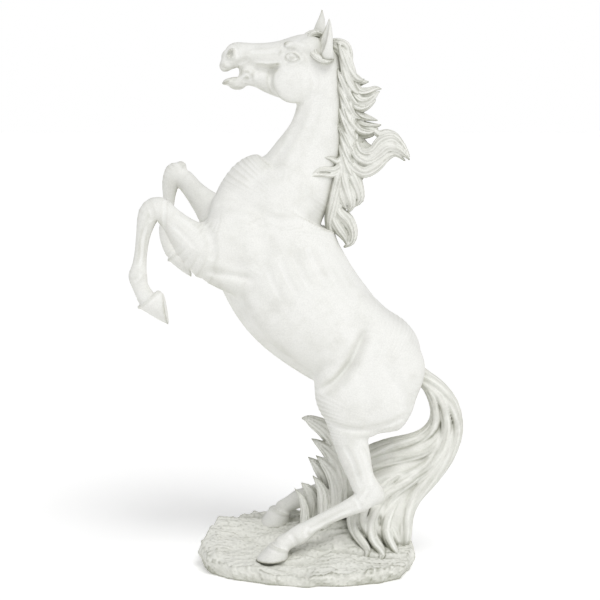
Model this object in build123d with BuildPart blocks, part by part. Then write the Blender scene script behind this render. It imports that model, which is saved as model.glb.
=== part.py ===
"""Rearing horse garden statue: hollow resin-stone castings over a welded steel armature,
standing on a hollow rock base with a screwed-on closing plate and a ballast bung.

Frame: origin at the centre of the base's underside, +Z up, the horse faces -X, its left side is -Y.
All lengths are millimetres.
"""

from build123d import *
import os
from math import cos, pi, sin

# ---------------------------------------------------------------- driving dimensions
WALL = 9.0  # wall of the hollow castings
RIM_HEIGHT = 32.0  # height of the widest line of the rock base
TOP_HEIGHT = 50.0  # height of the rock's top on the centre line
TOP_SPARE = 45.0  # the rock is built this much higher before its sloping top is cut
TOP_SLOPE = 6.5  # the rock's top rises this many degrees towards the back (+Y)
PLATE = 8.0  # closing plate under the base
FOOT_PLATE = 6.0  # steel plate that the armature stands on
LEG_BAR = 6.0  # radius of the bars in the hind legs
THIN_BAR = 4.0  # radius of the bars in the forelegs and the tail
SPINE_TUBE = 13.0  # outer radius of the spine tube
SPINE_TUBE_WALL = 2.5
NECK_BAR = 7.0
BUNG_R = 20.0  # radius of the bung's stem
BUNG_CLEARANCE = 0.2
BUNG_FLANGE_R = 26.0
BUNG_FLANGE = 2.5
BUNG_LENGTH = 18.0
BUNG_SLOT = 4.0  # width of the grip slot across the flange
BUNG_AT = (40.0, 0.0)
SCREW_R = 2.5
SCREW_LENGTH = 28.0
BOLT_R = 4.0
BOSS_R = 10.0
BUNG_RECESS = 3.0  # how deep the bung's flange sits in the closing plate
BOLT_LENGTH = 26.0
NUT_ACROSS = 13.0
NUT_HEIGHT = 6.5
POUR_R = 33.0  # hole in the foot plate over the bung, for pouring ballast
PIN_R = 2.0  # pins that line up the two body halves
PIN_LENGTH = 22.0
OFF_LEG_LIFT = 21.0  # the right hind hoof stands this much higher on the sloping rock
LIFT_BELOW = 95.0  # the whole lift applies up to this height
LIFT_ENDS = 190.0  # and none from this height up
HOOF_WIDTH = 62.0
BOLTS = [(-100, -26), (-100, 40), (126, -80), (126, 86)]
FOOT_OUTLINE = [
    (-125, -105), (150, -105), (150, -26), (200, -26), (200, 26), (150, 26), (150, 94), (126, 112),
    (-125, 112),
]

# ---------------------------------------------------------------- where castings part
HIND_JOINT_Z = 296.0  # flat joint between haunch and lower hind leg
FORE_JOINT_X = -212.0  # flat joint between shoulder and foreleg
HEAD_JOINT = Plane(origin=(34, 0, 1046), x_dir=(0, 1, 0), z_dir=(0.32, 0, 0.95))
MID_PLANE = Plane.XZ  # the two body halves meet here

# ---------------------------------------------------------------- the rock's outline
# Seen from above, at the widest line.
RIM = [
    (-243, -20), (-222, -76), (-166, -122), (-90, -156), (0, -170), (86, -165), (156, -147),
    (208, -112), (234, -50), (238, 20), (214, 86), (150, 132), (60, 154), (-40, 160),
    (-130, 150), (-204, 118), (-236, 50),
]
FOOT_SHARE = 0.955  # the rock's foot and its top edge, as shares of the rim
CAVITY_SHARE = 0.9
PLATE_GAP_SHARE = 0.002  # what the closing plate is smaller by, so that it drops in
BOSS_SHARE = 0.8
BOSS_CORNERS = (1, 4, 7, 10, 12, 15)  # the rim's corners that carry a screw boss

# ---------------------------------------------------------------- the horse's forms
# Each station is (x, y, z, depth, width): the middle of an oval section, its size in the
# XZ plane across the form, and its size along Y.
TRUNK = [
    (236, 0, 424, 44, 60), (216, 0, 440, 110, 130), (172, 0, 472, 186, 186),
    (98, 0, 492, 226, 200), (46, 0, 536, 238, 204), (-18, 0, 604, 254, 200),
    (-62, 0, 672, 262, 190), (-84, 0, 745, 262, 172), (-72, 0, 806, 252, 150),
    (-42, 0, 858, 218, 120), (-10, 0, 902, 176, 100), (14, 0, 950, 136, 84),
    (26, 0, 1000, 108, 72), (34, 0, 1050, 98, 66), (38, 0, 1096, 84, 60),
]
THIGH = [
    (150, -48, 520, 110, 66), (140, -58, 450, 196, 92), (121, -66, 392, 218, 96),
    (110, -72, 350, 178, 84), (98, -76, 322, 116, 66), (89, -78, 298, 76, 56),
    (100, -80, 257, 66, 48), (111, -82, 222, 62, 42), (112, -86, 186, 66, 42),
    (84, -90, 164, 46, 32), (46, -91, 146, 33, 27), (6, -92, 123, 34, 28),
    (-20, -92, 105, 46, 38), (-40, -92, 92, 40, 32), (-58, -92, 80, 46, 40),
]
FOREARM = [
    (-150, -52, 716, 150, 70), (-200, -60, 706, 136, 74), (-240, -64, 722, 96, 62),
    (-268, -67, 746, 66, 50), (-294, -70, 772, 46, 42), (-322, -72, 790, 56, 44),
    (-344, -72, 764, 36, 34), (-351, -72, 722, 25, 25), (-357, -72, 686, 26, 26),
    (-361, -72, 656, 38, 34), (-358, -72, 630, 31, 29), (-349, -72, 609, 38, 36),
]
# The off foreleg is lifted higher and held closer.
OFF_FOREARM = [
    (-150, 52, 736, 130, 70), (-196, 62, 770, 92, 66), (-224, 66, 795, 64, 56),
    (-251, 69, 822, 48, 46), (-274, 71, 847, 44, 42), (-290, 72, 864, 34, 32),
]
OFF_CANNON = [
    (-286, 72, 874, 26, 26), (-292, 72, 856, 44, 42), (-300, 72, 832, 38, 36),
    (-306, 72, 806, 27, 29), (-309, 72, 770, 25, 25), (-312, 72, 736, 32, 32),
    (-308, 72, 712, 31, 29), (-300, 72, 690, 36, 34),
]
HEAD = [
    (52, 0, 1118, 60, 50), (20, 0, 1096, 120, 66), (-18, 0, 1086, 140, 78),
    (-55, 0, 1084, 122, 70), (-88, 0, 1090, 96, 56), (-120, 0, 1097, 76, 46),
    (-150, 0, 1101, 66, 46), (-172, 0, 1096, 54, 44), (-184, 0, 1091, 30, 30),
]
CHIN = [
    (-100, 0, 1064, 40, 36), (-128, 0, 1057, 30, 32), (-152, 0, 1053, 25, 34),
    (-168, 0, 1054, 19, 30), (-176, 0, 1055, 9, 18),
]
# The parted lips, from the side.
MOUTH = [(-200, 1062), (-172, 1062), (-138, 1068), (-160, 1074), (-200, 1076)]
# Hooves: the middle of the crown, the toe and the heel.
HIND_HOOF = [(-62, -92, 80), (-108, -92, 34), (-42, -92, 34)]
FORE_HOOF = [(-346, -72, 604), (-306, -72, 552), (-322, -72, 612)]
OFF_FORE_HOOF = [(-297, 72, 688), (-249, 72, 636), (-272, 72, 696)]
HOLLOW_THIGH = 6  # stations of the thigh that are hollow
HOLLOW_HEAD = 6  # stations of the head that are hollow
# Mane locks, from the poll down to the withers.
CREST = [
    (46, 0, 1148, 16, 24), (74, -4, 1136, 26, 34), (88, -6, 1104, 28, 38), (94, -6, 1066, 30, 38),
    (98, -4, 1020, 32, 38), (98, -4, 970, 34, 38), (94, -6, 920, 40, 40), (84, -8, 866, 46, 44),
    (74, -8, 810, 44, 44), (66, -8, 760, 34, 38), (62, -8, 732, 20, 26),
]
UPPER_LOCK = [
    (92, 0, 1062, 60, 34), (112, -4, 1034, 56, 32), (132, -8, 1026, 42, 26), (150, -10, 1034, 18, 16),
]
MIDDLE_LOCK = [
    (98, 6, 992, 46, 32), (116, 4, 968, 42, 28), (136, 2, 958, 26, 22), (152, 0, 962, 12, 12),
]
GREAT_LOCK = [
    (92, -8, 930, 84, 38), (120, -14, 896, 80, 36), (150, -18, 904, 74, 32), (178, -20, 924, 54, 28),
    (200, -20, 910, 32, 22), (212, -20, 894, 12, 14),
]
SHOULDER_LOCK = [
    (82, -10, 868, 60, 42), (96, -14, 834, 50, 38), (104, -14, 806, 38, 30), (96, -12, 784, 18, 20),
]
WITHERS_LOCK = [
    (76, -8, 790, 44, 40), (86, -10, 758, 46, 36), (88, -10, 732, 36, 28), (80, -10, 714, 14, 16),
]
FORELOCK = [
    (34, -4, 1146, 30, 44), (8, -14, 1148, 26, 38), (0, -30, 1122, 24, 20), (14, -42, 1100, 18, 14),
    (38, -44, 1092, 12, 12),
]
TAIL = [
    (240, 0, 432, 40, 40), (262, 0, 420, 44, 46), (292, 0, 378, 54, 54), (303, 0, 330, 66, 66),
    (284, 0, 274, 92, 76), (244, 0, 216, 118, 84), (208, -2, 162, 112, 88), (188, -4, 108, 104, 90),
    (176, -6, 40, 100, 94),
]
TAIL_WRAP = [
    (250, 20, 262, 52, 40), (200, 28, 254, 56, 44), (150, 30, 236, 60, 46), (112, 24, 190, 56, 44),
    (98, 10, 130, 54, 44), (104, -6, 70, 48, 40), (112, -8, 46, 40, 34),
]
# Long grass that stands between the hind legs, each blade from its root to its tip.
GRASS_BLADES = [
    [
        (52, 0, 44, 60, 44), (60, 2, 120, 50, 40), (56, 4, 210, 44, 34), (34, 6, 290, 36, 26),
        (6, 6, 328, 12, 12),
    ],
    [(20, 4, 44, 52, 40), (36, 6, 120, 42, 34), (34, 8, 180, 30, 26), (20, 10, 236, 10, 10)],
    [(-16, 2, 44, 40, 34), (4, 2, 96, 26, 24), (2, 2, 140, 18, 16), (-14, 0, 176, 6, 6)],
]
EAR = [
    (42, -26, 1106, 30, 22), (43, -30, 1124, 32, 20), (44, -33, 1146, 26, 15), (44, -34, 1166, 16, 9),
    (43, -34, 1184, 4, 3),
]
OFF_EAR_SHIFT = (-14, 0, 14)

# ---------------------------------------------------------------- the armature's routes
HIND_ROUTE = [
    (-66, -92, PLATE), (-66, -92, 62), (-40, -92, 92), (108, -88, 176), (108, -82, 240),
    (92, -78, 300), (124, -64, 420), (124, -60, 462),
]
FORE_ROUTE = [(-76, -50, 742), (-216, -62, 712), (-318, -71, 788), (-352, -72, 712), (-359, -72, 640)]
OFF_FORE_ROUTE = [(-76, 50, 742), (-200, 62, 772), (-276, 71, 850), (-308, 72, 790), (-311, 72, 722)]
TAIL_ROUTE = [
    (176, 0, PLATE), (176, 0, 60), (182, -2, 110), (206, -2, 170), (290, 0, 300), (288, 0, 380),
    (246, 0, 428), (136, 0, 460),
]
SPINE_ROUTE = [(124, 0, 462), (-76, 0, 742)]
NECK_ROUTE = [(-76, 0, 752), (30, 0, 1010), (-40, 0, 1090)]
HIP_BEAM = (24.0, 150.0, 20.0)  # X, Y and Z sizes of the bar across the hips
SHOULDER_BEAM = (22.0, 116.0, 20.0)


def section_planes(stations):
    """One plane per station, square to the line through the stations."""
    spots = [Vector(*s[:3]) for s in stations]
    planes = []
    for i, spot in enumerate(spots):
        along = spots[min(i + 1, len(spots) - 1)] - spots[max(i - 1, 0)]
        planes.append(Plane(origin=spot, x_dir=(0, 1, 0), z_dir=along.normalized()))
    return planes


def eased(stations, steps=2):
    """The stations with others between them, on a smooth curve through all their numbers."""
    last = len(stations) - 1
    found = []
    for i in range(last):
        before, here, there, after = (stations[min(max(k, 0), last)] for k in (i - 1, i, i + 1, i + 2))
        for step in range(steps):
            t = step / steps
            found.append(tuple(
                b + 0.5 * t * ((c - a) + t * (2 * a - 5 * b + 4 * c - d + t * (3 * b - a - 3 * c + d)))
                for a, b, c, d in zip(before, here, there, after)
            ))
    return [*found, stations[last]]


def form(stations, thinner=0.0):
    """A solid through the stations' oval sections, each made thinner all round."""
    stations = eased(stations)
    with BuildPart() as made:
        for plane, (*_, depth, width) in zip(section_planes(stations), stations):
            with BuildSketch(plane):
                Ellipse(width / 2 - thinner, depth / 2 - thinner)
        loft(ruled=True)
    return made.part


def mirrored(stations):
    """The same stations on the other side of the mid plane."""
    return [(x, -y, z, depth, width) for x, y, z, depth, width in stations]


def bar(route, radius, bend=14.0):
    """A round bar along a route, bent at each corner."""
    with BuildPart() as made:
        with BuildLine() as path:
            if len(route) > 2:
                FilletPolyline(*route, radius=bend)
            else:
                Line(*route)
        with BuildSketch(path.line ^ 0):
            Circle(radius)
        sweep()
    return made.part


def hoof(crown, toe, heel, width):
    """A hoof from the middle of its crown to its sole, which runs from toe to heel in XZ."""
    toe, heel, crown = Vector(*toe), Vector(*heel), Vector(*crown)
    middle = (toe + heel) * 0.5
    sole_x = (heel - toe).normalized()
    outward = sole_x.cross(Vector(0, 1, 0)).normalized()
    if outward.dot(middle - crown) < 0:
        outward = outward * -1
    sole = Plane(origin=middle, x_dir=(0, 1, 0), z_dir=outward)
    top = Plane(origin=crown, x_dir=(0, 1, 0), z_dir=(middle - crown).normalized())
    length = (heel - toe).length
    with BuildPart() as made:
        with BuildSketch(top):
            Ellipse(width * 0.36, length * 0.33)
        with BuildSketch(sole):
            Ellipse(width / 2, length / 2)
        loft()
    return made.part


def rock_outline(share):
    return [(x * share, y * share) for x, y in RIM]


def rock_body(share, lift):
    """The rock's solid, or with a smaller share and a lower top, the hollow in it."""
    levels = ((0.0, FOOT_SHARE), (RIM_HEIGHT, 1.0), (TOP_HEIGHT + TOP_SPARE, FOOT_SHARE))
    with BuildPart() as made:
        for height, spread in levels:
            with BuildSketch(Plane.XY.offset(height)):
                Polygon(*rock_outline(share * spread), align=None)
        loft(ruled=True)
        slope = TOP_SLOPE * pi / 180
        top = Plane(origin=(0, 0, TOP_HEIGHT + lift), z_dir=(0, -sin(slope), cos(slope)))
        split(bisect_by=top, keep=Keep.BOTTOM)
    return made.part


os.makedirs("parts", exist_ok=True)
pieces = []


def keep(part, label):
    """Labels a finished piece and writes it."""
    part.label = label
    export_step(part, f"parts/{label}.step")
    pieces.append(part)


def trimmed(part, cutters):
    """The part without what the cutters take."""
    for cutter in cutters:
        part = part - cutter
    return part


def joined(first, *others):
    for other in others:
        first = first + other
    return first


def largest(part):
    """The largest solid of a part, without the slivers a cut leaves beside it."""
    return Part(max(part.solids(), key=lambda solid: solid.volume).wrapped)


def half(part, plane, side):
    """The part on one side of a plane: Keep.TOP is the side its normal points to."""
    with BuildPart() as made:
        add(part)
        split(bisect_by=plane, keep=side)
    return made.part


def lifted(stations, lift, low, high):
    """The stations raised by a whole lift at and below low, easing to none at high."""
    raised = []
    for x, y, z, *rest in stations:
        share = min(1.0, max(0.0, (high - z) / (high - low)))
        raised.append((x, y, z + lift * share, *rest))
    return raised


# ---------------------------------------------------------------- the armature
OFF_HIND_ROUTE = lifted([(x, -y, z) for x, y, z in HIND_ROUTE], OFF_LEG_LIFT, LIFT_BELOW, LIFT_ENDS)
OFF_HIND_ROUTE[0] = (HIND_ROUTE[0][0], -HIND_ROUTE[0][1], PLATE)
hind_bars = {"left": bar(HIND_ROUTE, LEG_BAR), "right": bar(OFF_HIND_ROUTE, LEG_BAR)}
fore_bars = {"left": bar(FORE_ROUTE, THIN_BAR), "right": bar(OFF_FORE_ROUTE, THIN_BAR)}
tail_bar = bar(TAIL_ROUTE, THIN_BAR)
neck_bar = bar(NECK_ROUTE, NECK_BAR)
spine_rod = bar(SPINE_ROUTE, SPINE_TUBE)
spine_bore = bar(SPINE_ROUTE, SPINE_TUBE - SPINE_TUBE_WALL)
standing_bars = [*hind_bars.values(), tail_bar]
all_bars = [*standing_bars, *fore_bars.values(), neck_bar]

with BuildPart() as hip_beam:
    with Locations(SPINE_ROUTE[0]):
        Box(*HIP_BEAM)
    add([spine_rod, tail_bar, *hind_bars.values()], mode=Mode.SUBTRACT)

with BuildPart() as shoulder_beam:
    with Locations(SPINE_ROUTE[1]):
        Box(*SHOULDER_BEAM)
    add([spine_rod, neck_bar, *fore_bars.values()], mode=Mode.SUBTRACT)

for side in ("left", "right"):
    keep(hind_bars[side], f"hind_leg_bar_{side}")
    keep(fore_bars[side], f"foreleg_bar_{side}")
keep(tail_bar, "tail_bar")
keep(neck_bar, "neck_bar")
keep(spine_rod - spine_bore, "spine_tube")
keep(hip_beam.part, "hip_beam")
keep(shoulder_beam.part, "shoulder_beam")

# ---------------------------------------------------------------- the rock base and its plates
boss_spots = [(RIM[i][0] * BOSS_SHARE, RIM[i][1] * BOSS_SHARE) for i in BOSS_CORNERS]
rock_solid = rock_body(1.0, 0.0)

with BuildPart() as screws:
    with Locations(*boss_spots):
        Cylinder(SCREW_R, SCREW_LENGTH, align=(Align.CENTER, Align.CENTER, Align.MIN))
        Cone(2 * SCREW_R, SCREW_R, SCREW_R, align=(Align.CENTER, Align.CENTER, Align.MIN))

with BuildPart() as bosses:
    with Locations(*[(x, y, PLATE) for x, y in boss_spots]):
        Cylinder(BOSS_R, TOP_HEIGHT, align=(Align.CENTER, Align.CENTER, Align.MIN))
    add(rock_solid, mode=Mode.INTERSECT)

with BuildPart() as rock_base:
    add(rock_solid)
    add(rock_body(CAVITY_SHARE, -WALL), mode=Mode.SUBTRACT)
    add(bosses.part)
    add([screws.part, *standing_bars], mode=Mode.SUBTRACT)

with BuildPart() as foot_bolts:
    with Locations(*BOLTS):
        Cylinder(BOLT_R, BOLT_LENGTH, align=(Align.CENTER, Align.CENTER, Align.MIN))
        Cone(2 * BOLT_R, BOLT_R, BOLT_R, align=(Align.CENTER, Align.CENTER, Align.MIN))

with BuildPart() as base_plate:
    with BuildSketch():
        Polygon(*rock_outline(FOOT_SHARE * CAVITY_SHARE - PLATE_GAP_SHARE), align=None)
    extrude(amount=PLATE)
    with Locations(BUNG_AT):
        Cylinder(BUNG_R, 3 * PLATE, mode=Mode.SUBTRACT)
        Cylinder(BUNG_FLANGE_R + BUNG_CLEARANCE, 2 * BUNG_RECESS, mode=Mode.SUBTRACT)
    add([screws.part, foot_bolts.part], mode=Mode.SUBTRACT)

with BuildPart() as foot_plate:
    with BuildSketch(Plane.XY.offset(PLATE)):
        Polygon(*FOOT_OUTLINE, align=None)
        with Locations(BUNG_AT):
            Circle(POUR_R, mode=Mode.SUBTRACT)
        with Locations(*boss_spots):
            Circle(BOSS_R + 1, mode=Mode.SUBTRACT)
    extrude(amount=FOOT_PLATE)
    add([foot_bolts.part, *standing_bars], mode=Mode.SUBTRACT)

with BuildPart() as foot_nuts:
    with BuildSketch(Plane.XY.offset(PLATE + FOOT_PLATE)):
        with Locations(*BOLTS):
            RegularPolygon(NUT_ACROSS / 2, 6, major_radius=False)
            Circle(BOLT_R, mode=Mode.SUBTRACT)
    extrude(amount=NUT_HEIGHT)

with BuildPart() as bung:
    with Locations((*BUNG_AT, BUNG_RECESS - BUNG_FLANGE)):
        Cylinder(BUNG_FLANGE_R, BUNG_FLANGE, align=(Align.CENTER, Align.CENTER, Align.MIN))
        Cylinder(BUNG_R - BUNG_CLEARANCE, BUNG_LENGTH, align=(Align.CENTER, Align.CENTER, Align.MIN))
    with Locations((*BUNG_AT, BUNG_RECESS - BUNG_FLANGE)):
        Box(BUNG_FLANGE_R, BUNG_SLOT, BUNG_FLANGE, mode=Mode.SUBTRACT)

keep(rock_base.part, "rock_base")
keep(base_plate.part, "base_plate")
keep(screws.part, "base_plate_screws")
keep(foot_plate.part, "armature_foot_plate")
keep(foot_bolts.part, "foot_plate_bolts")
keep(foot_nuts.part, "foot_plate_nuts")
keep(bung.part, "ballast_bung")

# ---------------------------------------------------------------- the horse's castings
OFF_THIGH = lifted(mirrored(THIGH), OFF_LEG_LIFT, LIFT_BELOW, LIFT_ENDS)
hind_legs = {"left": form(THIGH), "right": form(OFF_THIGH)}
forelegs = {"left": form(FOREARM), "right": joined(form(OFF_FOREARM), form(OFF_CANNON))}
hind_joint = Plane.XY.offset(HIND_JOINT_Z)
fore_joint = Plane.YZ.offset(FORE_JOINT_X)

horse_solid = joined(form(TRUNK), *hind_legs.values(), *forelegs.values())
haunch_hollows = [form(stations[:HOLLOW_THIGH], WALL) for stations in (THIGH, OFF_THIGH)]
horse_hollow = joined(form(TRUNK, WALL), *haunch_hollows)
body_shell = horse_solid - horse_hollow
for joint, side in ((HEAD_JOINT, Keep.BOTTOM), (hind_joint, Keep.TOP), (fore_joint, Keep.TOP)):
    body_shell = half(body_shell, joint, side)

with BuildPart() as seam_pins:
    for plane, (*_, depth, _width) in list(zip(section_planes(TRUNK), TRUNK))[2:-3]:
        offset_along = depth / 2 - WALL / 2
        for reach in (offset_along, -offset_along):
            spot = plane.from_local_coords((0, reach, 0))
            with Locations(Location(spot, (90, 0, 0))):
                Cylinder(PIN_R, PIN_LENGTH)

body_shell = trimmed(body_shell, [seam_pins.part, *all_bars])
keep(half(body_shell, MID_PLANE, Keep.TOP), "body_shell_left")
keep(half(body_shell, MID_PLANE, Keep.BOTTOM), "body_shell_right")
keep(seam_pins.part, "seam_pins")

HOOVES = {"left": HIND_HOOF, "right": [(x, -y, z + OFF_LEG_LIFT) for x, y, z in HIND_HOOF]}
for side in ("left", "right"):
    shank = largest(half(hind_legs[side], hind_joint, Keep.BOTTOM))
    leg = joined(shank, hoof(*HOOVES[side], HOOF_WIDTH))
    keep(trimmed(leg, [rock_solid, hind_bars[side]]), f"hind_leg_{side}")
for side, place in (("left", FORE_HOOF), ("right", OFF_FORE_HOOF)):
    leg = joined(half(forelegs[side], fore_joint, Keep.BOTTOM), hoof(*place, HOOF_WIDTH))
    keep(leg - fore_bars[side], f"foreleg_{side}")

skull = joined(form(HEAD), form(CHIN))
with BuildPart() as mouth_gap:
    with BuildSketch(Plane.XZ.offset(-30)):
        Polygon(*MOUTH, align=None)
    extrude(amount=60)
head_solid = half(joined(form(TRUNK), skull), HEAD_JOINT, Keep.TOP) - mouth_gap.part
head_hollow = joined(form(HEAD[:HOLLOW_HEAD], WALL), form(TRUNK[-4:], WALL))
keep(trimmed(head_solid, [head_hollow, neck_bar]), "head")

# ---------------------------------------------------------------- hair, ears, tail and grass
taken = [half(horse_solid, HEAD_JOINT, Keep.BOTTOM), head_solid, seam_pins.part]


def applied(part, label):
    """A casting bonded on: it is cut to fit everything that is there already."""
    fitted = largest(trimmed(part, taken))
    keep(fitted, label)
    taken.append(fitted)


shift_x, shift_y, shift_z = OFF_EAR_SHIFT
off_ear = [(x + shift_x, y + shift_y, z + shift_z, *rest) for x, y, z, *rest in mirrored(EAR)]
applied(form(EAR), "ear_left")
applied(form(off_ear), "ear_right")
applied(form(FORELOCK), "forelock")
applied(form(CREST), "mane_crest")
applied(form(UPPER_LOCK), "mane_upper_lock")
applied(form(MIDDLE_LOCK), "mane_middle_lock")
applied(form(GREAT_LOCK), "mane_great_lock")
applied(form(SHOULDER_LOCK), "mane_shoulder_lock")
applied(form(WITHERS_LOCK), "mane_withers_lock")
taken.extend([rock_solid, tail_bar])
applied(form(TAIL), "tail")
applied(form(TAIL_WRAP), "tail_wrap")
applied(joined(*[form(blade) for blade in GRASS_BLADES]), "grass_clump")
print(len(pieces), "pieces")
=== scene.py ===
"""Rearing horse garden statue: the looks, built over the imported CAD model.

Forms are modelled as distance fields in millimetres, meshed, and given antique stone finishes.
"""

import bpy
import numpy as np
import openvdb
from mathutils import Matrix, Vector


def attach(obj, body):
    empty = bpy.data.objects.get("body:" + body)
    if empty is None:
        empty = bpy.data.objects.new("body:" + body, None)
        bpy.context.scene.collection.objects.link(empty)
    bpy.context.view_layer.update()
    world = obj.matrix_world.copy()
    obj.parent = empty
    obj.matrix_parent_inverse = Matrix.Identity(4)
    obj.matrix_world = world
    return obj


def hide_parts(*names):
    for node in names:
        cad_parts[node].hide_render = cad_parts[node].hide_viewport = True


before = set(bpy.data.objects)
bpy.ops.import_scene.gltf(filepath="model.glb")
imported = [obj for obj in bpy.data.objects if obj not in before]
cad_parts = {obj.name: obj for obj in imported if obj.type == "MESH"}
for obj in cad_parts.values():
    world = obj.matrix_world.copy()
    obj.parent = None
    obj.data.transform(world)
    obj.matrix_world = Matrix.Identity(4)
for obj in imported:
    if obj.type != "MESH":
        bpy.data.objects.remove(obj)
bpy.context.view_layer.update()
MM = 0.001
BODY = "statue"
FAR = 1e3  # stands for a distance too great to matter
MARGIN = 6  # room left round a form's box


# ------------------------------------------------------------------ distance field tools
def smooth_min(a, b, k):
    h = np.clip(0.5 + 0.5 * (b - a) / k, 0, 1)
    return b + (a - b) * h - k * h * (1 - h)


def smooth_max(a, b, k):
    return -smooth_min(-a, -b, k)


def eased(stations, steps=3):
    """Stations with others between them on a smooth curve through all their numbers."""
    s = np.array(stations, float)
    last = len(s) - 1
    found = []
    for i in range(last):
        a, b, c, d = s[max(i - 1, 0)], s[i], s[i + 1], s[min(i + 2, last)]
        for step in range(steps):
            t = step / steps
            bend = 2 * a - 5 * b + 4 * c - d + t * (3 * b - a - 3 * c + d)
            found.append(b + 0.5 * t * ((c - a) + t * bend))
    found.append(s[last])
    return np.array(found)


class Sweep:
    """An oval section carried along stations (x, y, z, depth, width, [lean]).

    Lean widens one edge. With strands, grooves of this depth run along the form and wind round it.
    """

    def __init__(self, stations, strands=0, groove=0.0, twist=0.0, phase=0.0, steps=3):
        rows = [list(r) + [0.0] * (6 - len(r)) for r in stations]
        s = eased(rows, steps)
        self.p = s[:, :3]
        self.half = np.maximum(s[:, 3:5] / 2, 0.6)
        self.lean = s[:, 5]
        along = np.gradient(self.p, axis=0)
        self.t = along / np.linalg.norm(along, axis=1)[:, None]
        self.run = np.concatenate([[0], np.cumsum(np.linalg.norm(np.diff(self.p, axis=0), axis=1))])
        self.strands, self.groove, self.twist, self.phase = strands, groove, twist, phase
        reach = self.half.max(axis=1)[:, None]
        self.low, self.high = (self.p - reach).min(axis=0), (self.p + reach).max(axis=0)

    def __call__(self, q, reach):
        """Distance at points q where they are nearer than reach to the form's box, else a large one."""
        out = np.full(len(q), FAR, np.float32)
        near = np.all((q > self.low - reach) & (q < self.high + reach), axis=1)
        if not near.any():
            return out
        p = q[near]
        best = np.full(len(p), 1e12)
        seg = np.zeros(len(p), int)
        part = np.zeros(len(p))
        for i in range(len(self.p) - 1):
            a, ab = self.p[i], self.p[i + 1] - self.p[i]
            rel = p - a
            t = np.clip((rel @ ab) / (ab @ ab), 0, 1)
            away = rel - t[:, None] * ab
            d2 = np.einsum("ij,ij->i", away, away)
            better = d2 < best
            best[better] = d2[better]
            seg[better] = i
            part[better] = t[better]
        f = part[:, None]
        centre, tangent, half = (v[seg] * (1 - f) + v[seg + 1] * f for v in (self.p, self.t, self.half))
        tangent /= np.linalg.norm(tangent, axis=1)[:, None]
        normal = np.column_stack([-tangent[:, 2], np.zeros(len(p)), tangent[:, 0]])
        normal /= np.maximum(np.linalg.norm(normal, axis=1)[:, None], 1e-6)
        side = np.cross(normal, tangent)
        rel = p - centre
        u = np.einsum("ij,ij->i", rel, normal)
        v = np.einsum("ij,ij->i", rel, side)
        w = np.einsum("ij,ij->i", rel, tangent)
        ends = ((seg == 0) & (part <= 0)) | ((seg == len(self.p) - 2) & (part >= 1))
        u = np.where(ends, u, np.where(u < 0, -1, 1) * np.hypot(u, w))
        w = np.where(ends, w, 0)
        a, b = half[:, 0], half[:, 1]
        lean = self.lean[seg] * (1 - part) + self.lean[seg + 1] * part
        b = b * np.clip(1 + lean * np.clip(u / a, -1, 1), 0.2, 2)
        c = np.minimum(a, b)
        k0 = np.sqrt((u / a) ** 2 + (v / b) ** 2 + (w / c) ** 2)
        k1 = np.sqrt((u / a**2) ** 2 + (v / b**2) ** 2 + (w / c**2) ** 2)
        d = np.where(k1 > 1e-9, k0 * (k0 - 1) / np.maximum(k1, 1e-9), -c)
        if self.strands:
            run = self.run[seg] * (1 - part) + self.run[seg + 1] * part
            turn = np.arctan2(v / b, u / a)
            sway = 0.5 * np.sin(run * 0.045 + turn * 3 + self.phase)
            wave = turn * self.strands / 2 + self.twist * run + self.phase + sway
            fine = 0.35 * (1 - np.abs(np.cos(wave * 2.7 + 1.3)))
            strength = np.clip(c / 9.0, 0.25, 1) * np.clip(k0, 0, 1.2)
            d = d + self.groove * strength * ((1 - np.abs(np.cos(wave))) ** 1.4 + fine)
        out[near] = d
        return out


class Blob:
    """An ellipsoid turned in the XZ plane, on both flanks where it is mirrored."""

    def __init__(self, centre, radii, turn=0.0, mirror=True):
        self.c, self.r, self.mirror = np.array(centre, float), np.array(radii, float), mirror
        self.cos, self.sin = np.cos(np.radians(turn)), np.sin(np.radians(turn))

    def __call__(self, q, reach):
        y = -np.abs(q[:, 1]) if self.mirror else q[:, 1]
        x, y, z = q[:, 0] - self.c[0], y - self.c[1], q[:, 2] - self.c[2]
        r = np.column_stack([(x * self.cos + z * self.sin), y, (z * self.cos - x * self.sin)])
        k0 = np.linalg.norm(r / self.r, axis=1)
        k1 = np.linalg.norm(r / self.r**2, axis=1)
        return k0 * (k0 - 1) / np.maximum(k1, 1e-9)


class Lines:
    """Lines drawn on the flank: each is (points in XZ, width, depth); a positive depth carves."""

    def __init__(self, lines, inner=12.0, outer=34.0):
        self.lines = [(np.array(p, float), w, d) for p, w, d in lines]
        self.inner, self.outer = inner, outer

    def __call__(self, q):
        out = np.zeros(len(q))
        x, z = q[:, 0], q[:, 2]
        for pts, width, depth in self.lines:
            low, high = pts.min(axis=0) - 3 * width, pts.max(axis=0) + 3 * width
            near = np.flatnonzero((x > low[0]) & (x < high[0]) & (z > low[1]) & (z < high[1]))
            if not len(near):
                continue
            p = np.column_stack([x[near], z[near]])
            smooth = eased(pts, 4)
            best = np.full(len(near), 1e9)
            at = np.zeros(len(near))
            n = len(smooth) - 1
            for i in range(n):
                a, ab = smooth[i], smooth[i + 1] - smooth[i]
                t = np.clip(((p - a) @ ab) / (ab @ ab), 0, 1)
                d2 = ((p - a - t[:, None] * ab) ** 2).sum(axis=1)
                better = d2 < best
                best[better] = d2[better]
                at[better] = (i + t[better]) / n
            fade = np.clip(np.minimum(at, 1 - at) * 5 + 0.15, 0, 1)
            out[near] += depth * fade * np.exp(-best / width**2)
        return out * np.clip((np.abs(q[:, 1]) - self.inner) / (self.outer - self.inner), 0, 1)


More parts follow.
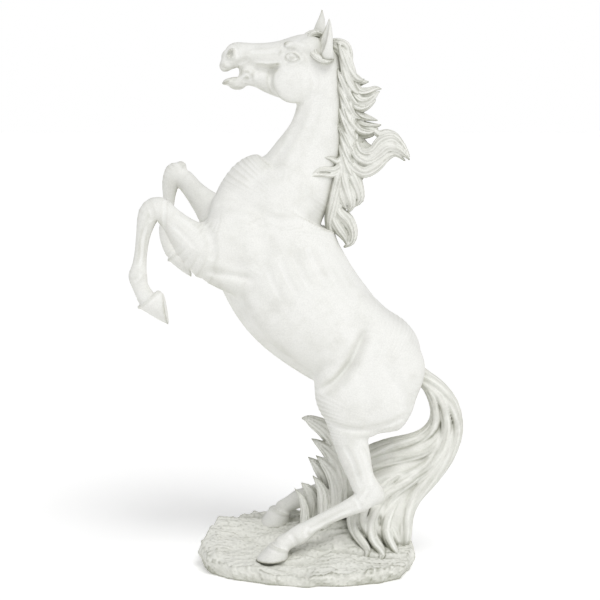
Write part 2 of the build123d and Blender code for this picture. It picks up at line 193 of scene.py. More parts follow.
class Domes:
    """Soft swellings on the flank: (x, z, length, height, turn, rise)."""

    def __init__(self, domes, inner=12.0, outer=34.0):
        self.domes, self.inner, self.outer = domes, inner, outer

    def __call__(self, q):
        out = np.zeros(len(q))
        for x0, z0, long, high, turn, rise in self.domes:
            c, s = np.cos(np.radians(turn)), np.sin(np.radians(turn))
            x, z = q[:, 0] - x0, q[:, 2] - z0
            out -= rise * np.exp(-(((x * c + z * s) / long) ** 2) - ((z * c - x * s) / high) ** 2)
        return out * np.clip((np.abs(q[:, 1]) - self.inner) / (self.outer - self.inner), 0, 1)


NOISE_CELLS = 32
NOISE_START = 101.3
NOISE = np.random.default_rng(7).random((NOISE_CELLS,) * 3) * 2 - 1


def noise(q, size):
    """Smooth noise from -1 to 1 with lumps of about this size."""
    g = q / size + NOISE_START
    i = np.floor(g).astype(int)
    f = g - i
    f = f * f * (3 - 2 * f)
    out = 0
    for dx in (0, 1):
        for dy in (0, 1):
            for dz in (0, 1):
                w = np.abs(1 - dx - f[:, 0]) * np.abs(1 - dy - f[:, 1]) * np.abs(1 - dz - f[:, 2])
                cell = (i + (dx, dy, dz)) % NOISE_CELLS
                out = out + w * NOISE[cell[:, 0], cell[:, 1], cell[:, 2]]
    return out


BLOCK = 8  # voxels along a block's side
BATCH = 600  # blocks worked out at once
BAND = 3  # voxels that the stored distance reaches on either side of the surface
SLACK = 5  # millimetres by which a form's distance may be out at a block's centre


def sculpt(distance, low, high, voxel):
    """Meshes a distance field in a box: points in mm and four-sided faces."""
    low = np.array(low, float)
    cells = np.ceil((np.array(high) - low) / voxel / BLOCK).astype(int)
    size = BLOCK * voxel
    grid = np.stack(np.meshgrid(*[np.arange(n) for n in cells], indexing="ij"), axis=-1).reshape(-1, 3)
    centres = low + (grid + 0.5) * size
    mid = distance(centres, size * 2)
    full = np.where(mid > 0, BAND * voxel, -BAND * voxel).astype(np.float32).reshape(cells)
    values = full.repeat(BLOCK, 0).repeat(BLOCK, 1).repeat(BLOCK, 2)
    close = grid[np.abs(mid) < size * 1.15 + SLACK]
    offsets = np.stack(np.meshgrid(*[np.arange(BLOCK)] * 3, indexing="ij"), axis=-1).reshape(-1, 3)
    for start in range(0, len(close), BATCH):
        blocks = close[start : start + BATCH]
        index = (blocks[:, None, :] * BLOCK + offsets[None]).reshape(-1, 3)
        d = distance(low + index * voxel, size)
        values[index[:, 0], index[:, 1], index[:, 2]] = np.clip(d, -BAND * voxel, BAND * voxel)
    volume = openvdb.FloatGrid(BAND * voxel)
    volume.copyFromArray(values)
    points, _, quads = volume.convertToPolygons(isovalue=0.0, adaptivity=0.0)
    return np.asarray(points) * voxel + low, np.asarray(quads)[:, ::-1]


def vertex_normals(points, quads):
    a, b, c, d = (points[quads[:, k]] for k in range(4))
    face = np.cross(c - a, d - b)
    out = np.zeros_like(points)
    for k in range(4):
        np.add.at(out, quads[:, k], face)
    return out / np.maximum(np.linalg.norm(out, axis=1)[:, None], 1e-9)


def piece(name, points, quads, material, slot, *nodes, normals=None):
    """One smooth mesh object that rides on the statue and stands for CAD nodes."""
    used, quads = np.unique(quads, return_inverse=True)
    quads = quads.reshape(-1, 4)
    normals = vertex_normals(points[used], quads) if normals is None else normals[used]
    mesh = bpy.data.meshes.new(name)
    mesh.vertices.add(len(used))
    mesh.vertices.foreach_set("co", (points[used] * MM).astype(np.float32).ravel())
    mesh.loops.add(quads.size)
    mesh.loops.foreach_set("vertex_index", quads.ravel().astype(np.int32))
    mesh.polygons.add(len(quads))
    mesh.polygons.foreach_set("loop_start", np.arange(0, quads.size, 4, dtype=np.int32))
    mesh.update(calc_edges=True)
    mesh.validate()
    mesh.shade_smooth()
    mesh.normals_split_custom_set_from_vertices(normals)
    mesh.materials.append(material)
    made = bpy.data.objects.new(name, mesh)
    bpy.context.scene.collection.objects.link(made)
    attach(made, BODY)
    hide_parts(*nodes)


# ------------------------------------------------------------------ the horse's forms
TRUNK = [
    (229, 0, 420, 50, 64), (208, 0, 441, 108, 142), (166, 0, 474, 168, 192, 0.05),
    (99, 0, 494, 214, 206, 0.08), (41, 0, 535, 241, 210, 0.0), (-22, 0, 600, 266, 210, -0.05),
    (-64, 0, 672, 270, 198, -0.1), (-79, 0, 745, 268, 176, -0.1), (-66, 0, 803, 246, 150, 0.0),
    (-28, 0, 847, 178, 118, 0.15), (-2, 0, 897, 148, 98, 0.2), (18, 0, 947, 122, 82, 0.2),
    (27, 0, 999, 104, 70, 0.2), (30, 0, 1050, 96, 62, 0.2), (26, 0, 1098, 84, 56, 0.1),
]
THIGH = [
    (160, -44, 522, 110, 66), (146, -56, 455, 186, 92), (124, -64, 396, 210, 98),
    (102, -70, 352, 180, 86), (92, -76, 320, 106, 66), (91, -78, 296, 76, 54),
    (101, -80, 257, 66, 46), (112, -82, 222, 56, 38), (122, -86, 194, 56, 34), (117, -88, 170, 48, 32),
    (84, -90, 152, 36, 28), (46, -91, 134, 31, 25), (8, -92, 113, 33, 28),
    (-18, -92, 95, 42, 34), (-38, -92, 84, 36, 30), (-56, -92, 72, 38, 34),
]
FOREARM = [
    (-140, -46, 712, 138, 60), (-196, -58, 702, 136, 70), (-236, -64, 719, 98, 62),
    (-264, -67, 744, 70, 50), (-290, -70, 773, 50, 42), (-314, -72, 793, 50, 40),
    (-334, -72, 781, 46, 38), (-346, -72, 740, 31, 28), (-352, -72, 700, 27, 25), (-356, -72, 672, 31, 27),
    (-359, -72, 650, 40, 34), (-354, -72, 628, 34, 30), (-343, -72, 606, 38, 36),
]
OFF_FOREARM = [
    (-140, 48, 736, 120, 60), (-196, 62, 768, 88, 62), (-224, 66, 794, 62, 54),
    (-250, 69, 822, 46, 44), (-270, 71, 846, 42, 40), (-286, 72, 858, 30, 32),
]
OFF_CANNON = [
    (-278, 72, 872, 26, 28), (-289, 72, 861, 46, 40), (-300, 72, 838, 38, 36),
    (-304, 72, 806, 27, 27), (-307, 72, 770, 25, 24), (-310, 72, 738, 34, 32),
    (-307, 72, 712, 35, 30), (-297, 72, 690, 38, 36),
]
LIFT = 21.0  # the right hind hoof stands this much higher
PASTERN_LIFT = 7  # and its leg this much more
LIFT_BELOW, LIFT_ENDS = 95, 190  # heights between which the lift fades


class Hoof:
    """A hoof between its crown and its sole, each given by its front and back points in XZ."""

    def __init__(self, y, crown_front, crown_back, toe, heel, width):
        corners = (crown_front, crown_back, toe, heel)
        self.front, self.back, self.toe, self.heel = (np.array((x, y, z), float) for x, z in corners)
        self.crown, self.sole = (self.front + self.back) / 2, (self.toe + self.heel) / 2
        self.width = width
        self.n_crown, self.n_sole = self.square(self.front, self.back), self.square(self.toe, self.heel)

    def square(self, a, b):
        n = np.cross(b - a, (0, 1, 0))
        n /= np.linalg.norm(n)
        return n if n @ (self.sole - self.crown) > 0 else -n

    def __call__(self, q, reach):
        above = (q - self.crown) @ self.n_crown
        below = (self.sole - q) @ self.n_sole
        share = np.clip(above / np.maximum(above + below, 1e-3), 0, 1)[:, None]
        share = np.where((above + below)[:, None] < 1e-3, 1, share)
        centre = self.crown + (self.sole - self.crown) * share
        axis = (self.back - self.front) * (1 - share) + (self.heel - self.toe) * share
        length = np.linalg.norm(axis, axis=1)
        u = np.einsum("ij,ij->i", q - centre, axis) / length
        band = 1.5 * np.exp(-(((above - 3) / 3.0) ** 2))
        a, b = length / 2 + band, self.width * (0.40 + 0.10 * share[:, 0]) + band
        k = np.sqrt((u / a) ** 2 + ((q[:, 1] - self.crown[1]) / b) ** 2)
        wall = (k - 1) * np.minimum(a, b)
        return smooth_max(smooth_max(wall, -below, 2.0), -above - 2, 3.0)


HOOVES = [
    Hoof(-92, (-80, 74), (-42, 64), (-114, 37), (-44, 40), 60),
    Hoof(92, (-84, 82 + LIFT), (-42, 68 + LIFT), (-114, 38 + LIFT), (-44, 40 + LIFT), 60),
    Hoof(-72, (-361, 584), (-316, 620), (-295, 547), (-306, 614), 54),
    Hoof(72, (-309, 668), (-270, 704), (-256, 630), (-262, 696), 54),
]


def raised(rows):
    """The right hind leg, which stands higher on the rock."""
    out = []
    for r in rows:
        share = min(1, max(0, (LIFT_ENDS - r[2]) / (LIFT_ENDS - LIFT_BELOW)))
        out.append((r[0], -r[1], r[2] + (LIFT + PASTERN_LIFT) * share, *r[3:]))
    return out


# Forms that are added to the trunk, each with the width over which it runs into it.
trunk = Sweep(TRUNK, steps=11)
legs = [
    (Sweep(THIGH, steps=6), 16), (Sweep(raised(THIGH), steps=6), 16), (Sweep(FOREARM), 16),
    (Sweep(OFF_FOREARM), 16), (Sweep(OFF_CANNON), 6),
]
muscles = [
    (Blob((196, -52, 440), (52, 44, 64), -20), 22),  # buttock
    (Blob((122, -52, 552), (66, 40, 42), -45), 26),  # loin and croup
    (Blob((60, -60, 400), (44, 40, 62), 20), 20),  # stifle
    (Blob((-150, -52, 730), (84, 40, 70), 20), 22),  # shoulder
    (Blob((-166, -30, 788), (42, 34, 44), -30), 12),  # breast
    (Blob((-160, -60, 647), (54, 28, 34), -15), 14),  # elbow
    (Blob((-54, -44, 798), (58, 32, 78), -30), 22),  # base of the neck
    (Blob((-26, -70, 594), (130, 32, 94), -55), 30),  # barrel
]
hocks = [
    (Blob((143, -86, 184), (20, 14, 26), 25, mirror=False), 10),
    (Blob((143, 86, 187), (20, 14, 26), 25, mirror=False), 10),
]
FLANK_LINES = Lines([
    ([(120, 540), (106, 508), (86, 466), (58, 430), (22, 404)], 8, 9.0),  # flank fold
    ([(134, 530), (118, 494), (98, 452), (70, 420)], 12, -3.0),
    ([(30, 352), (62, 332), (110, 326), (160, 334), (205, 352)], 7, 4.5),  # under the thigh
    ([(150, 470), (176, 440), (196, 400), (196, 360)], 12, 3.0),  # back of the thigh
    ([(60, 500), (96, 452), (118, 400), (122, 350)], 16, 1.6),  # front of the thigh
    ([(-216, 664), (-186, 656), (-150, 650), (-112, 646)], 9, 4.0),  # elbow
    ([(-112, 660), (-96, 690), (-96, 730), (-110, 770)], 16, 4.0),  # behind the shoulder
    ([(-222, 762), (-206, 740), (-200, 712), (-206, 684)], 9, 3.6),  # where the foreleg leaves
    ([(-200, 796), (-160, 800), (-120, 796), (-70, 770), (-10, 766)], 11, 3.4),  # shoulder blade
    ([(-176, 770), (-140, 778), (-100, 764), (-60, 744)], 12, 2.0),
    ([(-128, 836), (-104, 856), (-80, 866), (-52, 862)], 12, 3.0),  # neck against breast
    ([(-84, 872), (-52, 912), (-26, 960), (-10, 1010), (-4, 1040)], 10, 4.2),  # jugular groove
    ([(-44, 880), (-14, 930), (8, 985), (18, 1040)], 13, 2.4),
    ([(-60, 690), (-44, 650), (-22, 612)], 7, 1.8),  # ribs
    ([(-32, 706), (-16, 664), (6, 624)], 7, 1.8),
    ([(-4, 716), (12, 676), (32, 640)], 7, 1.7),
    ([(24, 716), (38, 676), (56, 640)], 7, 1.5),
    ([(-88, 676), (-74, 640), (-54, 604)], 7, 1.6),
    ([(-150, 600), (-120, 548), (-80, 498), (-30, 456), (16, 428)], 12, 3.4),  # edge of the belly
    ([(-10, 820), (20, 790), (40, 760)], 14, 2.4),  # withers
    ([(-130, 640), (-100, 600), (-60, 560)], 16, 2.0),
])
LEG_LINES = Lines([
    ([(76, 292), (92, 262), (104, 226), (112, 200)], 6, 2.4),
    ([(112, 290), (122, 260), (130, 230), (136, 204)], 5, 3.2),  # hamstring tendon
    ([(104, 158), (70, 143), (30, 122), (0, 106)], 5, 2.4),  # cannon tendon
    ([(130, 200), (120, 186), (112, 170)], 5, 2.4),
    ([(96, 178), (106, 168), (112, 154)], 5, 2.0),
    ([(-236, 712), (-258, 736), (-286, 762)], 5, 2.0),
    ([(-228, 744), (-254, 764), (-280, 782)], 5, 1.6),
    ([(-330, 796), (-326, 780), (-332, 766)], 5, 1.8),
    ([(-338, 758), (-346, 730), (-349, 700), (-353, 672)], 3.5, 2.2),
    ([(-350, 660), (-356, 648), (-366, 640)], 4, 1.8),
    ([(-290, 848), (-299, 810), (-301, 770), (-302, 742)], 4, 2.0),
    ([(-40, 98), (-30, 86), (-26, 72)], 5, 2.4),
    ([(2, 118), (-6, 104), (-2, 92)], 5, 1.8),
], inner=66, outer=84)
FLANK_DOMES = Domes([
    (-150, 760, 40, 60, 30, 4), (-190, 748, 30, 26, 30, 3), (160, 400, 34, 60, 10, 4),
    (86, 420, 34, 60, -10, 3.5), (-40, 900, 34, 80, -35, 2.5), (170, 512, 50, 30, -40, 2),
    (104, 250, 12, 34, 15, 3), (-130, 690, 34, 28, 0, 3),
])


def horse(q, reach):
    """The whole horse but for its head's detail, hair and ears."""
    d = trunk(q, reach)
    for form, k in muscles + legs + hocks:
        d = smooth_min(d, form(q, reach), k)
    d = d + FLANK_LINES(q) + FLANK_DOMES(q) + LEG_LINES(q)
    for hoof in HOOVES:
        d = smooth_min(d, hoof(q, reach), 2.5)
    return d


# ------------------------------------------------------------------ the head
SKULL = [
    (30, 0, 1112, 72, 56), (2, 0, 1114, 84, 70), (-28, 0, 1110, 82, 74), (-58, 0, 1107, 70, 62),
    (-88, 0, 1106, 63, 50), (-116, 0, 1106, 61, 43), (-138, 0, 1108, 60, 42), (-152, 0, 1110, 56, 42),
    (-164, 0, 1104, 44, 38),
]
JAW = [
    (-16, 0, 1052, 80, 60), (-50, 0, 1052, 64, 50), (-80, 0, 1058, 54, 42), (-106, 0, 1065, 44, 37),
    (-128, 0, 1064, 34, 34), (-146, 0, 1056, 24, 33), (-160, 0, 1053, 18, 32), (-170, 0, 1054, 12, 26),
]
skull, jaw = Sweep(SKULL, steps=5), Sweep(JAW, steps=5)
head_added = [
    (Blob((-30, -24, 1054), (45, 11, 43)), 12),  # cheek
    (Blob((-32, -31, 1110), (17, 8, 13), -15), 6),  # eye socket's rim
    (Blob((-28, -29, 1130), (24, 9, 9), -12), 7),  # brow
    (Blob((2, -25, 1130), (26, 12, 18), 20), 9),  # temple
    (Blob((-100, -18, 1112), (40, 8, 12), 4), 9),  # bridge's side
    (Blob((-176, 0, 1089), (12, 19, 13), 20, mirror=False), 7),  # upper lip
    (Blob((-160, -18, 1114), (11, 6, 13), -30), 5),  # nostril's rim
    (Blob((-150, 0, 1047), (15, 14, 8), mirror=False), 6),  # chin
    (Blob((-171, 0, 1055), (12, 15, 5), 15, mirror=False), 3),  # lower lip
    (Blob((-128, -15, 1074), (14, 7, 12)), 7),  # corner of the mouth
]
mouth = [
    Blob((-183, 0, 1069), (31, 40, 6.5), 8, mirror=False),
    Blob((-166, 0, 1067), (18, 14, 8.5), 6, mirror=False),
]
tongue = Blob((-163, 0, 1060), (18, 9, 5), 12, mirror=False)
nostril = Blob((-164, -22, 1114), (5, 9, 9), -28)
socket = Blob((-34, -40, 1107), (13, 8, 7.5), -12)
eyeball = Blob((-34, -31.5, 1107), (10.5, 7.5, 8.5))
HEAD_LINES = Lines([
    ([(-52, 1108), (-45, 1117), (-32, 1120), (-19, 1113), (-12, 1102)], 2.6, 2.6),  # over the upper lid
    ([(-50, 1104), (-42, 1112), (-32, 1114.5), (-22, 1109), (-17, 1103)], 1.8, -1.6),  # upper lid
    ([(-50, 1102), (-40, 1095), (-28, 1095), (-16, 1101)], 2.6, 1.8),
    ([(-58, 1120), (-46, 1131), (-28, 1136), (-8, 1130)], 3.6, 2.0),
    ([(-62, 1110), (-54, 1124), (-40, 1127), (-22, 1126)], 3, -1.2),
    ([(-12, 1118), (0, 1108), (6, 1092)], 6, 2.0),
    ([(-58, 1094), (-84, 1092), (-114, 1094)], 3.5, -2.4),  # facial crest
    ([(-56, 1086), (-84, 1083), (-116, 1085)], 4.5, 2.4),
    ([(-60, 1122), (-90, 1118), (-124, 1118)], 5, 2.0),
    ([(-74, 1088), (-80, 1068), (-78, 1046), (-62, 1024)], 4.5, 3.2),  # cheek's edge
    ([(-8, 1010), (10, 1028), (16, 1056), (10, 1084)], 6, 3.6),  # jaw against neck
    ([(-140, 1067), (-131, 1072), (-123, 1069), (-120, 1060)], 3, 2.4),  # corner of the mouth
    ([(-118, 1080), (-124, 1070), (-122, 1058), (-114, 1050)], 4, 1.6),
    ([(-150, 1082), (-134, 1083), (-118, 1078)], 3.4, 1.6),
    ([(-124, 1106), (-142, 1095), (-158, 1092)], 4.5, 2.2),
    ([(-178, 1118), (-164, 1129), (-152, 1123), (-150, 1108)], 3.0, 2.0),  # round the nostril
    ([(-186, 1088), (-176, 1082), (-162, 1080)], 3.0, 1.6),
    ([(-122, 1050), (-128, 1057), (-138, 1058)], 4, 2.0),
], inner=6, outer=15)


def head(q, reach):
    d = smooth_min(skull(q, reach), jaw(q, reach), 14)
    for form, k in head_added:
        d = smooth_min(d, form(q, reach), k)
    d = d + HEAD_LINES(q)
    for hollow in mouth:
        d = smooth_max(d, -hollow(q, reach), 2.5)
    d = smooth_max(d, -nostril(q, reach), 1.5)
    d = smooth_max(d, -socket(q, reach), 1.5)
    d = smooth_min(d, eyeball(q, reach), 0.6)
    return smooth_min(d, tongue(q, reach), 1.5)


def whole(q, reach):
    return smooth_min(horse(q, reach), head(q, reach), 12)


# ------------------------------------------------------------------ materials
def node(tree, kind, **values):
    """A new shader node with these values in its inputs, named with _ for a space."""
    made = tree.nodes.new("ShaderNode" + kind)
    for name, value in values.items():
        made.inputs[name.replace("_", " ")].default_value = value
    return made


def mapped(tree, value, start, end, low, high):
    """A value between start and end turned into one between low and high."""
    made = node(tree, "MapRange", From_Min=start, From_Max=end, To_Min=low, To_Max=high)
    tree.links.new(value, made.inputs["Value"])
    return made.outputs["Result"]


def worked(tree, operation, first, second, clamp=False):
    """A sum or product of an output with another output or a number."""
    made = tree.nodes.new("ShaderNodeMath")
    made.operation = operation
    made.use_clamp = clamp
    tree.links.new(first, made.inputs[0])
    if isinstance(second, (int, float)):
        made.inputs[1].default_value = second
    else:
        tree.links.new(second, made.inputs[1])
    return made.outputs["Value"]


def mixed(tree, factor, a, b):
    """Two colours mixed by an output."""
    made = tree.nodes.new("ShaderNodeMix")
    made.data_type = "RGBA"
    made.inputs["A"].default_value = (*a, 1)
    made.inputs["B"].default_value = (*b, 1)
    tree.links.new(factor, made.inputs["Factor"])
    return made.outputs["Result"]


def grained(tree, colour, grain, strength, depth):
    """Gives the tree's surface this colour and a fine bumpy grain."""
    shader = tree.nodes["Principled BSDF"]
    tree.links.new(colour, shader.inputs["Base Color"])
    relief = node(tree, "Bump", Strength=strength, Distance=depth)
    tree.links.new(grain, relief.inputs["Height"])
    tree.links.new(relief.outputs["Normal"], shader.inputs["Normal"])
    return shader


def stone(name, base, wash, depth=0.5, grit=1.0, bump=0.25, rough=0.72):
    """Antique stone: a pale cast, a thin wash in its hollows, painted shade on its undersides and fine sandy
    grain.
    """
    made = bpy.data.materials.new(name)
    made.use_nodes = True
    tree = made.node_tree
    coord = tree.nodes.new("ShaderNodeTexCoord")
    shade = node(tree, "AmbientOcclusion", Distance=0.03)
    shade.samples = 8
    patch = node(tree, "TexNoise", Scale=9, Detail=6)
    sand = node(tree, "TexNoise", Scale=420 * grit, Detail=3)
    stain = node(tree, "TexNoise", Scale=22, Detail=5, Roughness=0.65)
    for texture in (patch, sand, stain):
        tree.links.new(coord.outputs["Object"], texture.inputs["Vector"])
    surface = tree.nodes.new("ShaderNodeNewGeometry")
    facing = tree.nodes.new("ShaderNodeSeparateXYZ")
    tree.links.new(surface.outputs["True Normal"], facing.inputs["Vector"])
    # the wash gathers in creases and sheltered places
    crease = mapped(tree, surface.outputs["Pointiness"], 0.44, 0.5, 1, 0)
    sheltered = mapped(tree, shade.outputs["AO"], 0.15, 0.95, 1, 0)
    # painted shade: downward-facing undersides darkened in the wash's colour as if in shadow
    under = mapped(tree, facing.outputs["Z"], 0.05, -0.8, 0, 0.35)
    wash_and_painted_shade = worked(tree, "ADD", worked(tree, "ADD", crease, sheltered), under)
    # more in some places than others, with a thin film overall
    patchy = worked(tree, "MULTIPLY", wash_and_painted_shade, mapped(tree, patch.outputs["Fac"], 0.35, 0.7, 0.45, 1.15))
    film = mapped(tree, stain.outputs["Fac"], 0.48, 0.72, 0, 0.16)
    amount = worked(tree, "ADD", worked(tree, "MULTIPLY", patchy, depth), film, clamp=True)
    speck = tree.nodes.new("ShaderNodeMix")
    speck.data_type = "RGBA"
    speck.blend_type = "MULTIPLY"
    speck.inputs["Factor"].default_value = 0.35
    tree.links.new(mixed(tree, amount, base, wash), speck.inputs["A"])
    tree.links.new(mapped(tree, sand.outputs["Fac"], 0.3, 0.7, 0.8, 1.08), speck.inputs["B"])
    shader = grained(tree, speck.outputs["Result"], sand.outputs["Fac"], bump, 0.001)
    shader.inputs["Roughness"].default_value = rough
    shader.inputs["Specular IOR Level"].default_value = 0.3
    return made


def plain(name, colour, rough, metallic=0.0, grain=300, bump=0.1, spread=0.06):
    """A worked surface: a colour that varies a little and a fine grain."""
    made = bpy.data.materials.new(name)
    made.use_nodes = True
    tree = made.node_tree
    coord = tree.nodes.new("ShaderNodeTexCoord")
    texture = node(tree, "TexNoise", Scale=grain, Detail=4)
    tree.links.new(coord.outputs["Object"], texture.inputs["Vector"])
    darker = [c * (1 - spread) for c in colour]
    lighter = [min(1, c * (1 + spread)) for c in colour]
    varied = mixed(tree, texture.outputs["Fac"], darker, lighter)
    shader = grained(tree, varied, texture.outputs["Fac"], bump, 0.0005)
    shader.inputs["Metallic"].default_value = metallic
    shader.inputs["Roughness"].default_value = rough
    return made


HORSE_STONE = stone("antique_stone", (0.88, 0.88, 0.85), (0.43, 0.43, 0.35), depth=0.9)
HAIR_STONE = stone("washed_hair_stone", (0.88, 0.88, 0.835), (0.36, 0.365, 0.295), depth=1.0)
ROCK_STONE = stone(
    "rough_rock_stone", (0.84, 0.84, 0.79), (0.34, 0.345, 0.28), depth=0.9, grit=0.5, bump=0.7, rough=0.9
)

# ------------------------------------------------------------------ the horse's pieces
# One skin, parted where the castings part: on a sloping plane through the neck, on a level plane
# below the haunches, on an upright one before the shoulders, and along the middle.
HEAD_CUT, HEAD_NORMAL = (34, 1046), (0.32, 0.95)
HIND_CUT = 296
FORE_CUT = -216
points, quads = sculpt(whole, (-400, -140, 20), (260, 140, 1170), 2.4)
normals = vertex_normals(points, quads)
x, y, z = points[quads].mean(axis=1).T
in_head = (x - HEAD_CUT[0]) * HEAD_NORMAL[0] + (z - HEAD_CUT[1]) * HEAD_NORMAL[1] > 0
in_hind = (z < HIND_CUT) & (x > -120)
in_fore = (x < FORE_CUT) & ~in_head & (z > 500)
in_body = ~in_head & ~in_hind & ~in_fore
for name, chosen, nodes in (
    ("head", in_head, ("head",)),
    ("hind_leg_left", in_hind & (y < 0), ("hind_leg_left",)),
    ("hind_leg_right", in_hind & (y >= 0), ("hind_leg_right",)),
    ("foreleg_left", in_fore & (y < 0), ("foreleg_left",)),
    ("foreleg_right", in_fore & (y >= 0), ("foreleg_right",)),
    ("body_left", in_body & (y < 0), ("body_shell_left", "seam_pins")),
    ("body_right", in_body & (y >= 0), ("body_shell_right",)),
):
    piece("horse_" + name, points, quads[chosen], HORSE_STONE, "antique_stone", *nodes, normals=normals)

# ------------------------------------------------------------------ ears
EAR = [
    (37, -24, 1104, 34, 26), (36, -29, 1126, 31, 25), (39, -32, 1148, 24, 19), (42, -34, 1167, 14, 11),
    (43, -34, 1186, 2, 2),
]
EAR_HOLLOW = [
    (24, -34, 1112, 4, 8), (26, -38, 1128, 15, 20), (31, -40, 1146, 14, 17), (37, -39, 1164, 8, 10),
    (41, -37, 1180, 2, 3),
]


def ear(ahead, up, side):
    """An ear moved along X and Z; side is -1 for the right one."""
    outer, hollow = (
        Sweep([(x + ahead, side * y, z + up, depth, width) for x, y, z, depth, width in rows])
        for rows in (EAR, EAR_HOLLOW)
    )

    def field(q, reach):
        return smooth_max(outer(q, reach), -hollow(q, reach), 2)

    return sculpt(field, outer.low - MARGIN, outer.high + MARGIN, 1.2)


piece("ear_near", *ear(0, 0, 1), HORSE_STONE, "antique_stone", "ear_left")
piece("ear_far", *ear(-14, 21, -1), HORSE_STONE, "antique_stone", "ear_right")

